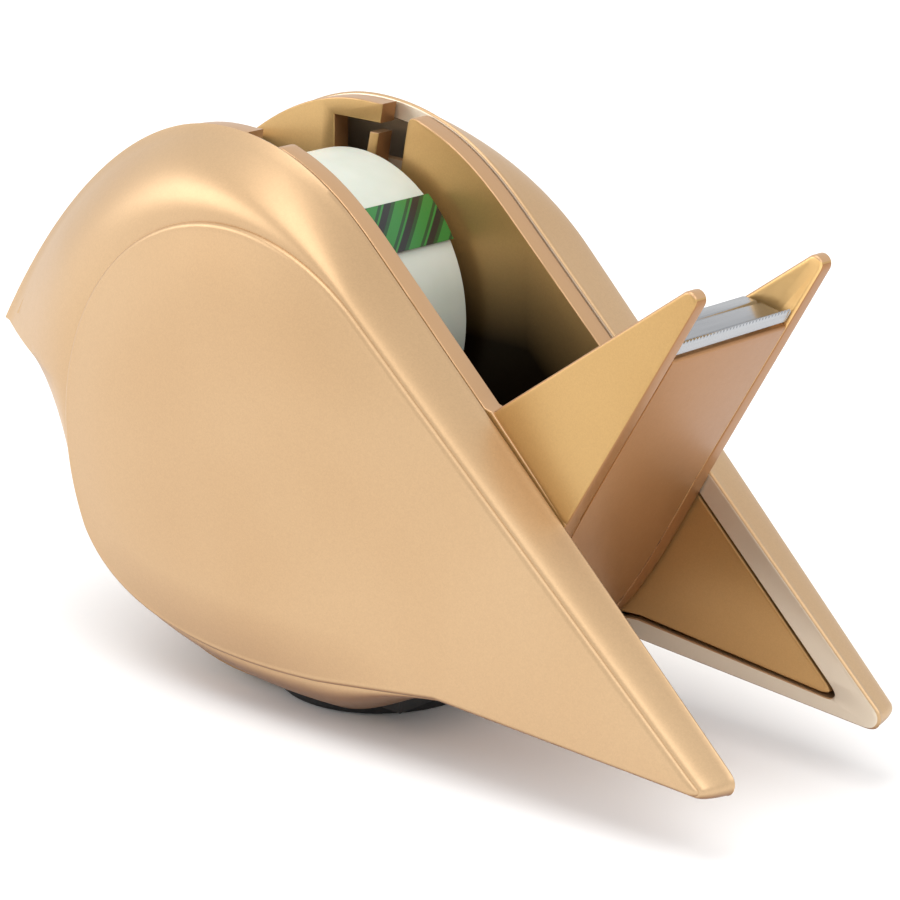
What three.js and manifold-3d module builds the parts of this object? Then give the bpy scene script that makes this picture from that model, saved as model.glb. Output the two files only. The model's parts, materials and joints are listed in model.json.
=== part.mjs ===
// A desk tape dispenser in the shape of a perching bird, as an assembly of separate pieces.
// Millimetres, +Z up. The beak points along -X, the tail feathers along +X, and Y = 0 is the
// mirror plane. The origin is at the middle of the footprint, on the table.
// Side profiles are drawn in (u, z): u runs from the beak tip towards the tail, and z starts
// 2.5 mm above the table, near the belly's lowest line.
import * as THREE from 'three';
import { mergeVertices } from 'three/addons/utils/BufferGeometryUtils.js';
import { ParametricGeometry } from 'three/addons/geometries/ParametricGeometry.js';
import Module from 'manifold-3d';

const wasm = await Module();
wasm.setup();

// ---- Driving dimensions ----
const LENGTH = 143.6;
const GAP = 0.3;
const SEAM_Y = 15;
const SHELL_WALL = 2.4;
const FRAME_T = 3;
const FRAME_OUT = SEAM_Y - GAP;
const FRAME_IN = FRAME_OUT - FRAME_T;
const CREST_Z = 79.6;
const WING = { u: 59.7, z: 33.65, r: 35.2 };
const WING_EDGE_Y = 24.5;
const TAIL_EDGE_Y = 20.2;
const WING_STEP = 1.1;
const WING_CROWN = 2.4;
const ROLL = { u: 50.5, z: 51, r: 21.7, width: 19 };
const CORE_R = 14.2;
const CORE_T = 1.2;
const SLOT = { width: 5.2, topU: 57.2, topZ: 84 };
const AXLE_R = 2.2;
const EAR_TIP = { u: 135.85, z: 73.7, r: 1.3 };
const EAR_LEAN = 0.9;
const EAR_TIP_T = 2.3;
const COVER_T = 1.4;
const PLATE_TOP_Z = 60.1;
const LINER = { r: 26.5, t: 1.4, startDeg: 168, endDeg: 296, endU: 113.2, topU: 26.6, topZ: 69.2 };
const PAD = { u: 64, r: 15, t: 1.4, bottom: -2.5 };
const BASE = { startU: 47.2, endU: 79, bottom: -0.8, top: 1.6 };
const BLADE = { length: 22.5, teeth: 15, t: 0.5, height: 2.2, tooth: 0.6, inset: 0.5, above: 0.5 };
const PANEL = { inset: 3.3, t: 1.2 };
const HUB_FLANGE = { r: 15.5, t: 1.3 };
const TAB = { startDeg: 31, endDeg: 51, t: 0.35 };

// ---- Materials ----
const paint = (color, roughness, metalness) =>
  new THREE.MeshStandardMaterial({ color, roughness, metalness });
const looks = {
  gold: () => paint(0xdebc8c, 0.38, 0.55),
  frame: () => paint(0xcfa97c, 0.4, 0.5),
  panel: () => paint(0xb48c55, 0.42, 0.5),
  copper: () => paint(0xb98a66, 0.45, 0.35),
  silver: () => paint(0xbebebe, 0.3, 0.9),
  steel: () => paint(0x9a9da0, 0.35, 0.95),
  iron: () => paint(0x55575a, 0.6, 0.8),
  black: () => paint(0x1a1a1c, 0.8, 0),
  hub: () => paint(0x3a3b3d, 0.55, 0),
  card: () => paint(0xc8b79a, 0.9, 0),
  tape: () => paint(0xd2d8cb, 0.55, 0),
  tab: () => paint(0x2f7a3c, 0.6, 0),
};

// ---- Solids ----
const CENTRE_U = LENGTH / 2;
const at = (u, z) => new THREE.Vector2(u - CENTRE_U, z);

function signedVolume(position, index) {
  const [a, b, c] = [new THREE.Vector3(), new THREE.Vector3(), new THREE.Vector3()];
  let volume = 0;
  for (let i = 0; i < index.length; i += 3) {
    a.fromBufferAttribute(position, index[i]);
    b.fromBufferAttribute(position, index[i + 1]);
    c.fromBufferAttribute(position, index[i + 2]);
    volume += a.dot(b.cross(c)) / 6;
  }
  return volume;
}

// Turns a closed three.js geometry into a solid, with its faces pointing out.
function solid(geometry) {
  const plain = geometry.clone();
  plain.deleteAttribute('normal');
  plain.deleteAttribute('uv');
  const merged = mergeVertices(plain, 1e-4);
  const index = merged.index.array;
  const kept = [];
  for (let i = 0; i < index.length; i += 3) {
    const [a, b, c] = [index[i], index[i + 1], index[i + 2]];
    if (a !== b && b !== c && c !== a) kept.push(a, b, c);
  }
  if (signedVolume(merged.attributes.position, kept) < 0) kept.reverse();
  return new wasm.Manifold(new wasm.Mesh({
    numProp: 3,
    vertProperties: new Float32Array(merged.attributes.position.array),
    triVerts: new Uint32Array(kept),
  }));
}

function geometryOf(body) {
  const mesh = body.getMesh();
  const geometry = new THREE.BufferGeometry();
  geometry.setAttribute('position', new THREE.BufferAttribute(mesh.vertProperties, 3));
  geometry.setIndex(new THREE.BufferAttribute(mesh.triVerts, 1));
  return geometry;
}

const joined = (parts) => parts.reduce((all, part) => all.add(part));
const cutBy = (body, tools) => tools.reduce((rest, tool) => rest.subtract(tool), body);

function mirrored(geometry) {
  const copy = geometry.clone();
  copy.scale(1, -1, 1);
  copy.index.array.reverse();
  return copy;
}

// A side profile given a thickness between two planes of constant y.
function slabGeometry(shape, y0, y1, curveSegments = 12) {
  const geometry = new THREE.ExtrudeGeometry(shape, {
    depth: y1 - y0, bevelEnabled: false, curveSegments,
  });
  geometry.rotateX(Math.PI / 2);
  geometry.translate(0, y1, 0);
  return geometry;
}
const slab = (shape, y0, y1, curveSegments) => solid(slabGeometry(shape, y0, y1, curveSegments));

// A round bar along Y, and one along Z.
function barY(u, z, radius, y0, y1, sides = 16) {
  const geometry = new THREE.CylinderGeometry(radius, radius, y1 - y0, sides);
  geometry.translate(u - CENTRE_U, (y0 + y1) / 2, z);
  return solid(geometry);
}
function barZ(u, y, radius, z0, z1, sides = 16) {
  const geometry = new THREE.CylinderGeometry(radius, radius, z1 - z0, sides);
  geometry.rotateX(Math.PI / 2);
  geometry.translate(u - CENTRE_U, y, (z0 + z1) / 2);
  return solid(geometry);
}
function ringY(centre, outer, inner, y0, y1, sides) {
  const half = (y1 - y0) / 2;
  const profile = [[inner, -half], [outer, -half], [outer, half], [inner, half], [inner, -half]]
    .map(([r, y]) => new THREE.Vector2(r, y));
  const geometry = new THREE.LatheGeometry(profile, sides);
  geometry.translate(centre.u - CENTRE_U, (y0 + y1) / 2, centre.z);
  return solid(geometry);
}

// ---- Side outline of the bird ----
// Each anchor is [u, z, mu, mz]: insetting the outline by d moves it by (mu, mz) * d.
const ANCHORS = {
  tailTop: [142.6, 8.4, -2.5, 0.4],
  backTop: [78.4, 67.1, -0.681, -0.732],
  crest: [49, CREST_Z, 0, -1],
  beak: [0, 43, 1.57, 0.62],
  bottomFront: [52, -0.8, 0, 1],
  bottomRear: [70, -0.8, 0, 1],
  tailRoot: [100, 8.6, 0.05, 1],
  tailLow: [141.6, 6, -2.5, 0.9],
};
const HANDLES = {
  backCurve: [[70.4, 74.5, -0.5, -0.86], [62, CREST_Z, 0, -1]],
  head: [[31, CREST_Z, 0, -1], [13, 63.5, 0.845, -0.535]],
  breast: [[17.5, 38.5, 0.4, 0.9], [19, -0.4, 0.5, 0.86]],
  bellyRise: [[80, -0.6, 0, 1], [88, 8.2, -0.1, 1]],
};
const placed = ([u, z, mu, mz], inset) => at(u + mu * inset, z + mz * inset);

function bezier(from, handles, to, inset) {
  return new THREE.CubicBezierCurve(
    placed(from, inset), placed(handles[0], inset), placed(handles[1], inset), placed(to, inset));
}
function straight(from, to, inset) {
  return new THREE.LineCurve(placed(from, inset), placed(to, inset));
}

function outlineCurves(inset) {
  const a = ANCHORS;
  return [
    straight(a.tailTop, a.backTop, inset),
    bezier(a.backTop, HANDLES.backCurve, a.crest, inset),
    bezier(a.crest, HANDLES.head, a.beak, inset),
    bezier(a.beak, HANDLES.breast, a.bottomFront, inset),
    straight(a.bottomFront, a.bottomRear, inset),
    bezier(a.bottomRear, HANDLES.bellyRise, a.tailRoot, inset),
    straight(a.tailRoot, a.tailLow, inset),
    straight(a.tailLow, a.tailTop, inset),
  ];
}

// The wing's edge: a circle with straight edges to the tail, matched curve by curve to the
// outline, so that a surface can run from one to the other.
function wingCurves(inset) {
  const centre = at(WING.u, WING.z);
  const radius = WING.r - inset;
  const arc = (fromDeg, toDeg) => new THREE.EllipseCurve(
    centre.x, centre.y, radius, radius,
    THREE.MathUtils.degToRad(fromDeg), THREE.MathUtils.degToRad(toDeg));
  const top = arc(47, 100);
  const front = arc(100, 171);
  const breast = arc(171, 206);
  const tip = at(140.6 - 2.4 * inset, 7.8 + 0.5 * inset);
  const low = at(140.2 - 2.4 * inset, 7.2 + 0.9 * inset);
  const root = at(97, 9.6 + inset);
  const rear = at(76, 6.8 + inset);
  const bottom = breast.getPoint(1);
  const mid = at(37.5, 3.4 + inset);
  return [
    new THREE.LineCurve(tip, top.getPoint(0)),
    top,
    front,
    breast,
    new THREE.QuadraticBezierCurve(bottom, mid, rear),
    new THREE.LineCurve(rear, root),
    new THREE.LineCurve(root, low),
    new THREE.LineCurve(low, tip),
  ];
}

const WEIGHTS = [7, 6, 7, 7, 5, 4, 4, 1];

function sampleLoop(curves, density) {
  const points = [];
  curves.forEach((curve, k) => {
    const steps = Math.max(1, Math.round(WEIGHTS[k] * density));
    for (let i = 0; i < steps; i += 1) points.push(curve.getPoint(i / steps));
  });
  return points;
}

// How far the wing's edge stands out from the mirror plane: full at the body, less at the tail.
function edgeY(x) {
  const u = x + CENTRE_U;
  const t = THREE.MathUtils.clamp((u - 74) / (142 - 74), 0, 1);
  return THREE.MathUtils.lerp(WING_EDGE_Y, TAIL_EDGE_Y, t);
}
function crownY(x, z) {
  const reach = 1.35 * WING.r;
  const r = Math.hypot(x + CENTRE_U - WING.u, z - WING.z);
  return WING_CROWN * Math.max(0, 1 - (r / reach) ** 2) ** 2;
}

// How fast the band rises from the seam: gentler round the breast and the belly.
function bandPower(point) {
  const low = THREE.MathUtils.clamp((62 - point.y) / 20, 0, 1);
  const front = THREE.MathUtils.clamp((80 - point.x - CENTRE_U) / 30, 0, 1);
  return 2.2 - 0.8 * low * front;
}

// One half of the bird's bulging body, from its flat seam face out to the crowned wing.
function halfBody({ inset, floor, density, bandRings, domeRings, step }) {
  const rim = sampleLoop(outlineCurves(inset), density);
  const edge = sampleLoop(wingCurves(inset), density);
  const centre = at(WING.u, WING.z);
  const rings = [() => [centre.x, SEAM_Y, centre.y]];
  for (let k = 0; k <= bandRings; k += 1) {
    const a = k / bandRings;
    rings.push((j) => {
      const p = rim[j].clone().lerp(edge[j], a);
      const rise = edgeY(p.x) - floor - SEAM_Y;
      return [p.x, SEAM_Y + rise * (1 - (1 - a) ** bandPower(rim[j])), p.y];
    });
  }
  for (let k = 0; k <= domeRings; k += 1) {
    const b = 0.97 * (1 - k / domeRings);
    rings.push((j) => {
      const p = centre.clone().lerp(edge[j], b);
      return [p.x, edgeY(p.x) - floor + step + crownY(p.x, p.y), p.y];
    });
  }
  const stacks = rings.length - 1;
  const place = (s, v, target) => {
    const j = Math.round(s * rim.length) % rim.length;
    target.set(...rings[Math.round(v * stacks)](j));
  };
  return new ParametricGeometry(place, rim.length, stacks);
}

// ---- The central body's profiles ----
const EAR_BASE_TOP = [99.3, 48.4];
const EAR_BASE_LOW = [112.6, 35.7];
const EAR_EDGE = new THREE.Vector2(EAR_TIP.u - EAR_BASE_LOW[0], EAR_TIP.z - EAR_BASE_LOW[1]).normalize();

// The belly's rear line, from the ears' base down to the base, moved inwards by an inset.
function bellyCurve(inset) {
  return new THREE.CubicBezierCurve(
    at(112.6 - 0.862 * inset, 35.7 + 0.507 * inset),
    at(103.5 - 0.862 * inset, 20.2 + 0.507 * inset),
    at(96 - 0.5 * inset, 6 + 0.86 * inset),
    at(84, 4.4 + inset));
}

// The sheet that runs up from the belly and stands between the ears as the front plate.
function coverShape(thickness) {
  const outer = bellyCurve(0).getPoints(12).reverse();
  const inner = bellyCurve(thickness).getPoints(12);
  const rise = PLATE_TOP_Z - EAR_BASE_LOW[1];
  const run = rise * EAR_EDGE.x / EAR_EDGE.y;
  const top = new THREE.Vector2(outer.at(-1).x + run, outer.at(-1).y + rise);
  const innerTop = new THREE.Vector2(inner[0].x + run, inner[0].y + rise);
  return new THREE.Shape([...outer, top, innerTop, ...inner]);
}

// Narrows a slab towards the ear tips: side faces lean in by EAR_LEAN between base and tip.
function leanIn(geometry, taper) {
  const position = geometry.attributes.position;
  for (let i = 0; i < position.count; i += 1) {
    const z = position.getZ(i);
    const t = Math.max(0, (z - EAR_BASE_LOW[1]) / (EAR_TIP.z - EAR_BASE_LOW[1]));
    const y = position.getY(i);
    const side = Math.sign(y);
    const depth = (FRAME_OUT - Math.abs(y)) * (1 - taper * t);
    position.setY(i, side * (FRAME_OUT - EAR_LEAN * t - depth));
  }
  return geometry;
}

function earShape() {
  const tip = at(EAR_TIP.u, EAR_TIP.z);
  const low = at(...EAR_BASE_LOW);
  const high = at(...EAR_BASE_TOP);
  const root = at(104, 36);
  const shape = new THREE.Shape();
  shape.moveTo(root.x, root.y);
  shape.lineTo(low.x, low.y);
  const toLow = low.clone().sub(tip).normalize();
  const toHigh = high.clone().sub(tip).normalize();
  const half = Math.acos(toLow.dot(toHigh)) / 2;
  const centre = toLow.clone().add(toHigh).setLength(EAR_TIP.r / Math.sin(half)).add(tip);
  const lowEnd = toLow.clone().multiplyScalar(EAR_TIP.r / Math.tan(half)).add(tip);
  shape.lineTo(lowEnd.x, lowEnd.y);
  const [start, end] = [Math.atan2(toLow.x, -toLow.y), Math.atan2(-toHigh.x, toHigh.y)];
  shape.absarc(centre.x, centre.y, EAR_TIP.r, start, end, false);
  shape.lineTo(high.x, high.y);
  shape.lineTo(at(97, 44).x, 44);
  return shape;
}

function frameShape() {
  const curves = outlineCurves(GAP);
  const points = [at(...EAR_BASE_TOP)];
  points.push(curves[0].getPoint(1));
  [[1, 10], [2, 12], [3, 12], [4, 2]].forEach(([k, steps]) => {
    for (let i = 1; i <= steps; i += 1) points.push(curves[k].getPoint(i / steps));
  });
  for (let i = 1; i <= 4; i += 1) points.push(curves[5].getPoint(i / 8));
  points.push(...bellyCurve(0).getPoints(12).reverse());
  return new THREE.Shape(points);
}

// The slot that the axle drops into, open at the crest.
const SLOT_DIR = new THREE.Vector2(SLOT.topU - ROLL.u, SLOT.topZ - ROLL.z).normalize();
function slotShape() {
  const half = SLOT.width / 2;
  const side = new THREE.Vector2(-SLOT_DIR.y, SLOT_DIR.x);
  const low = at(ROLL.u, ROLL.z);
  const high = at(SLOT.topU, SLOT.topZ);
  const start = Math.atan2(side.y, side.x);
  const shape = new THREE.Shape();
  shape.moveTo(high.x - side.x * half, high.y - side.y * half);
  shape.lineTo(high.x + side.x * half, high.y + side.y * half);
  shape.absarc(low.x, low.y, half, start, start + Math.PI, false);
  shape.closePath();
  return shape;
}

// The window in front of the slot. The bar left between them is a spring finger, free at its
// top, that keeps the axle down.
function windowShape() {
  const corners = [[43.6, 63], [48.2, 63], [50.9, 74.8], [54, 74.8], [54, 76.3], [43.6, 76.3]];
  return new THREE.Shape(corners.map(([u, z]) => at(u, z)));
}

// The wall inside a shell that closes the back of the slot and the lower part of the window.
function pocketShape() {
  const corners = [[46, 60], [63.5, 60], [61, 75.8], [57.6, 77], [55.2, 70.5], [46, 70.5]];
  return new THREE.Shape(corners.map(([u, z]) => at(u, z)));
}

// The tub that the roll hangs in: a front wall, an arc round the roll, and a ramp up to the cutter.
function linerShape() {
  const centre = at(ROLL.u, ROLL.z);
  const [a0, a1] = [LINER.startDeg, LINER.endDeg].map(THREE.MathUtils.degToRad);
  const rim = (angle, r) => new THREE.Vector2(Math.cos(angle), Math.sin(angle)).multiplyScalar(r).add(centre);
  const outer = LINER.r + LINER.t;
  const climb = new THREE.Vector2(-Math.sin(a1), Math.cos(a1));
  const rampEnd = (from) => from.clone().addScaledVector(climb, (at(LINER.endU, 0).x - from.x) / climb.x);
  const shape = new THREE.Shape();
  const top = at(LINER.topU, LINER.topZ);
  shape.moveTo(top.x, top.y);
  shape.absarc(centre.x, centre.y, LINER.r, a0, a1, false);
  const innerEnd = rampEnd(rim(a1, LINER.r));
  const outerEnd = rampEnd(rim(a1, outer));
  shape.lineTo(innerEnd.x, innerEnd.y);
  shape.lineTo(outerEnd.x, outerEnd.y);
  shape.absarc(centre.x, centre.y, outer, a1, a0, true);
  shape.lineTo(top.x - LINER.t, top.y);
  shape.closePath();
  return shape;
}

// The strip between the frames that closes the head, the beak and the breast.
function breastShape() {
  const path = (inset) => {
    const curves = outlineCurves(inset);
    const [headCurve, breastCurve] = [curves[2], curves[3]];
    const points = [];
    for (let i = 0; i <= 7; i += 1) points.push(headCurve.getPoint(0.42 + 0.58 * i / 7));
    for (let i = 1; i <= 9; i += 1) points.push(breastCurve.getPoint(0.93 * i / 9));
    return points;
  };
  return new THREE.Shape([...path(GAP), ...path(GAP + COVER_T).reverse()]);
}

// The insert that closes a tail feather's hollow on its inner side.
function panelShape(inset) {
  const curves = outlineCurves(inset);
  const points = [curves[0].getPoint(0)];
  points.push(curves[0].getPoint(0.475));
  points.push(at(92.6, 11.6 + inset - PANEL.inset));
  points.push(curves[6].getPoint(0), curves[7].getPoint(0));
  return new THREE.Shape(points);
}

function ballastShape() {
  const corners = [[25.6, 22.2], [31, 14.8], [38.5, 7], [47, 2], [74, 2], [88, 7.6], [94.5, 14.4], [98.5, 22.2]];
  return new THREE.Shape(corners.map(([u, z]) => at(u, z)));
}

function holderShape() {
  const inner = (z, inset) => {
    const base = at(EAR_BASE_LOW[0] - 0.862 * inset, EAR_BASE_LOW[1] + 0.507 * inset);
    return new THREE.Vector2(base.x + (z - base.y) * EAR_EDGE.x / EAR_EDGE.y, z);
  };
  const behind = COVER_T + GAP;
  return new THREE.Shape([
    at(119.4, 62.5), at(120.7, 63.2), at(123.4, 62.9), inner(62.2, behind), inner(52, behind), at(115, 52.3), at(113.9, 55.5),
  ]);
}

// ---- Fasteners and the places where they go ----
const SHELL_SCREWS = [[28, 20], [84, 14], [98, 33]];
const SCREW = { shaft: 1.25, head: 2.4, headT: 1.4, length: 8 };
const BOLTS = [[42, 13], [72, 9.6]];
const BOLT = { shaft: 1.5, head: 2.7, headT: 1.6 };
const BASE_SCREWS = [[54, 0], [66, 6], [66, -6]];

// A turned piece whose outline is given as [radius, height] pairs, standing on +Z.
function turned(outline, sides) {
  const geometry = new THREE.LatheGeometry(outline.map(([r, h]) => new THREE.Vector2(r, h)), sides);
  geometry.rotateX(Math.PI / 2);
  return geometry;
}
function screwGeometry({ shaft, head, headT, length }, sides = 12) {
  return turned([[0, -headT], [head, -headT], [head, 0], [shaft, 0], [shaft, length], [0, length]], sides);
}
function screwAlongY(kind, u, z, y, sides) {
  const geometry = screwGeometry(kind, sides);
  geometry.rotateX(-Math.PI / 2);
  geometry.translate(u - CENTRE_U, y, z);
  return geometry;
}

// ---- Pieces ----
const dispenser = new THREE.Group();
dispenser.name = 'tape_dispenser';

function place(name, geometry, material) {
  geometry.computeVertexNormals();
  const mesh = new THREE.Mesh(geometry, material);
  mesh.name = name;
  dispenser.add(mesh);
}
function bothSides(name, geometry, look) {
  place(`right_${name}`, geometry, looks[look]());
  place(`left_${name}`, mirrored(geometry), looks[look]());
}

function shell() {
  const outside = solid(halfBody({
    inset: 0, floor: 0, density: 1.15, bandRings: 3, domeRings: 3, step: WING_STEP,
  }));
  const hollow = solid(halfBody({
    inset: SHELL_WALL + 0.6, floor: SHELL_WALL, density: 0.7, bandRings: 2, domeRings: 2, step: 0,
  }));
  const bosses = SHELL_SCREWS.map(([u, z]) => barY(u, z, 2.8, SEAM_Y, WING_EDGE_Y - 1, 10));
  const pilots = SHELL_SCREWS.map(([u, z]) => barY(u, z, SCREW.shaft + 0.15, SEAM_Y - 1, SEAM_Y + 7, 10));
  const rebate = slab(panelShape(PANEL.inset - GAP), SEAM_Y - 1, SEAM_Y + GAP + PANEL.t + GAP);
  const pocket = slab(pocketShape(), SEAM_Y, SEAM_Y + 1.4);
  const body = joined([outside.subtract(hollow), pocket, ...bosses.map((boss) => boss.intersect(outside))]);
  return geometryOf(cutBy(body, [...pilots, rebate]));
}

function innerFrame() {
  const plate = slab(frameShape(), FRAME_IN, FRAME_OUT);
  const earTaper = 1 - EAR_TIP_T / FRAME_T;
  const ear = solid(leanIn(slabGeometry(earShape(), FRAME_IN, FRAME_OUT), earTaper));
  const slot = slab(slotShape(), FRAME_IN - 1, SEAM_Y);
  const opening = slab(windowShape(), FRAME_IN - 1, SEAM_Y);
  const screwHoles = SHELL_SCREWS.flatMap(([u, z]) => [
    barY(u, z, SCREW.shaft + 0.25, FRAME_IN - 1, SEAM_Y + 1, 10),
    barY(u, z, SCREW.head + 0.3, FRAME_IN - 1, FRAME_IN + SCREW.headT + GAP, 10),
  ]);
  const boltHoles = BOLTS.flatMap(([u, z]) => [
    barY(u, z, BOLT.shaft + 0.3, FRAME_IN - 1, SEAM_Y + 1, 10),
    barY(u, z, BOLT.head + 0.7, FRAME_OUT - BOLT.headT, SEAM_Y + 1, 6),
  ]);
  return geometryOf(cutBy(joined([plate, ear]), [slot, opening, ...screwHoles, ...boltHoles]));
}

function ballast() {
  const block = slab(ballastShape(), -FRAME_IN + GAP, FRAME_IN - GAP);
  const bolts = BOLTS.map(([u, z]) => barY(u, z, BOLT.shaft + 0.3, -SEAM_Y, SEAM_Y, 10));
  const screws = BASE_SCREWS.map(([u, y]) => barZ(u, y, SCREW.shaft + 0.2, -1, BASE.top + SCREW.length, 10));
  return geometryOf(cutBy(block, [...bolts, ...screws]));
}

function basePlate() {
  const half = FRAME_IN - GAP;
  const box = new THREE.BoxGeometry(BASE.endU - BASE.startU, 2 * half, BASE.top - BASE.bottom);
  box.translate((BASE.startU + BASE.endU) / 2 - CENTRE_U, 0, (BASE.top + BASE.bottom) / 2);
  const holes = BASE_SCREWS.flatMap(([u, y]) => [
    barZ(u, y, SCREW.shaft + 0.25, -1, BASE.top + 1, 10),
    barZ(u, y, SCREW.head + 0.3, -1, BASE.bottom + SCREW.headT + 0.2, 10),
  ]);
  return geometryOf(cutBy(solid(box), holes));
}

function basePad() {
  const chamfer = 0.6;
  const outline = [[0, 0], [PAD.r - chamfer, 0], [PAD.r, chamfer], [PAD.r, PAD.t], [0, PAD.t]];
  const geometry = turned(outline, 40);
  geometry.translate(PAD.u - CENTRE_U, 0, PAD.bottom);
  return geometryOf(solid(geometry));
}

function frontCover() {
  const half = FRAME_IN - GAP - 0.2;
  return geometryOf(slab(coverShape(COVER_T), -half, half));
}

// A strip with a row of teeth on its upper edge, standing in line with the front plate.
function cutterBlade() {
  const pitch = BLADE.length / BLADE.teeth;
  const shape = new THREE.Shape();
  shape.moveTo(-BLADE.length / 2, 0);
  shape.lineTo(BLADE.length / 2, 0);
  shape.lineTo(BLADE.length / 2, BLADE.height - BLADE.tooth);
  for (let i = BLADE.teeth - 1; i >= 0; i -= 1) {
    const y = -BLADE.length / 2 + i * pitch;
    shape.lineTo(y + pitch / 2, BLADE.height);
    shape.lineTo(y, BLADE.height - BLADE.tooth);
  }
  const geometry = new THREE.ExtrudeGeometry(shape, { depth: BLADE.t, bevelEnabled: false });
  const along = new THREE.Vector3(0, 1, 0);
  const rise = new THREE.Vector3(EAR_EDGE.x, 0, EAR_EDGE.y);
  const out = new THREE.Vector3().crossVectors(along, rise);
  const inset = BLADE.inset + BLADE.t;
  const start = PLATE_TOP_Z - EAR_BASE_LOW[1] + BLADE.above;
  const origin = new THREE.Vector3(at(EAR_BASE_LOW[0], 0).x, 0, EAR_BASE_LOW[1])
    .addScaledVector(rise, start / EAR_EDGE.y).addScaledVector(out, -inset);
  geometry.applyMatrix4(new THREE.Matrix4().makeBasis(along, rise, out).setPosition(origin));
  return geometryOf(solid(geometry));
}

// Half of the two-part hub that the roll's core is pressed onto.
function hubHalf() {
  const wall = 1.6;
  const barrel = CORE_R - CORE_T - GAP;
  const side = ROLL.width / 2 + GAP;
  const outline = [
    [AXLE_R + GAP, GAP], [AXLE_R + GAP + wall, GAP], [AXLE_R + GAP + wall, side - 1], [barrel - wall, side - 1],
    [barrel - wall, GAP], [barrel, GAP], [barrel, side], [HUB_FLANGE.r, side], [HUB_FLANGE.r, side + HUB_FLANGE.t],
    [AXLE_R + GAP, side + HUB_FLANGE.t], [AXLE_R + GAP, GAP],
  ];
  const geometry = new THREE.LatheGeometry(outline.map(([r, y]) => new THREE.Vector2(r, y)), 24);
  geometry.translate(ROLL.u - CENTRE_U, 0, ROLL.z);
  return geometryOf(solid(geometry));
}

function starterTab() {
  const centre = at(ROLL.u, ROLL.z);
  const [a0, a1] = [TAB.startDeg, TAB.endDeg].map(THREE.MathUtils.degToRad);
  const inner = ROLL.r + GAP;
  const shape = new THREE.Shape();
  shape.absarc(centre.x, centre.y, inner + TAB.t, a0, a1, false);
  shape.absarc(centre.x, centre.y, inner, a1, a0, true);
  shape.closePath();
  return geometryOf(slab(shape, -ROLL.width / 2, ROLL.width / 2, 8));
}

bothSides('shell', shell(), 'gold');
bothSides('inner_frame', innerFrame(), 'frame');
bothSides('tail_panel', geometryOf(slab(panelShape(PANEL.inset), SEAM_Y + GAP, SEAM_Y + GAP + PANEL.t)), 'panel');
place('front_cover', frontCover(), looks.copper());
place('breast_cover', geometryOf(slab(breastShape(), -FRAME_IN + GAP, FRAME_IN - GAP)), looks.gold());
place('well_liner', geometryOf(slab(linerShape(), -FRAME_IN + GAP, FRAME_IN - GAP, 16)), looks.black());
place('ballast_weight', ballast(), looks.iron());
place('base_plate', basePlate(), looks.black());
place('base_pad', basePad(), looks.black());
place('cutter_holder', geometryOf(slab(holderShape(), -BLADE.length / 2, BLADE.length / 2)), looks.silver());
place('cutter_blade', cutterBlade(), looks.steel());
place('axle', geometryOf(barY(ROLL.u, ROLL.z, AXLE_R, -FRAME_OUT + GAP, FRAME_OUT - GAP, 20)), looks.steel());
bothSides('hub', hubHalf(), 'hub');
place('tape_core', geometryOf(ringY(ROLL, CORE_R, CORE_R - CORE_T, -ROLL.width / 2, ROLL.width / 2, 32)), looks.card());
place('tape_roll', geometryOf(ringY(ROLL, ROLL.r, CORE_R + GAP, -ROLL.width / 2, ROLL.width / 2, 48)), looks.tape());
place('starter_tab', starterTab(), looks.tab());

SHELL_SCREWS.forEach(([u, z], i) => {
  const geometry = geometryOf(solid(screwAlongY(SCREW, u, z, FRAME_IN + SCREW.headT, 10)));
  bothSides(`shell_screw_${i + 1}`, geometry, 'steel');
});
BOLTS.forEach(([u, z], i) => {
  const seat = FRAME_OUT - BOLT.headT + 0.2;
  const bolt = { ...BOLT, headT: BOLT.headT - 0.4, length: 2 * seat + 1 };
  const shaft = screwAlongY(bolt, u, z, -seat, 12);
  place(`frame_bolt_${i + 1}`, geometryOf(solid(shaft)), looks.steel());
  const nut = barY(u, z, BOLT.head, seat, seat + 1.2, 6).subtract(barY(u, z, BOLT.shaft + 0.2, 0, SEAM_Y + 1, 12));
  place(`frame_nut_${i + 1}`, geometryOf(nut), looks.steel());
});
BASE_SCREWS.forEach(([u, y], i) => {
  const geometry = screwGeometry({ ...SCREW, headT: SCREW.headT - 0.2 }, 10);
  geometry.translate(u - CENTRE_U, y, BASE.bottom + SCREW.headT);
  place(`base_screw_${i + 1}`, geometryOf(solid(geometry)), looks.steel());
});

// The pad's underside is the lowest face, and it stands on the table.
dispenser.position.z = -PAD.bottom;

export default dispenser;
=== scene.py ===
"""The looks of a bird-shaped desk tape dispenser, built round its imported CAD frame.

Side profiles are in (u, z) millimetres: u runs from the beak tip to the tail, and z starts LIFT
above the table, near the belly's lowest line. Y is across the bird, with the left half at -Y.
"""
import json
from math import atan2, cos, degrees, exp, hypot, log, pi, radians, sin, sqrt, tan

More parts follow.
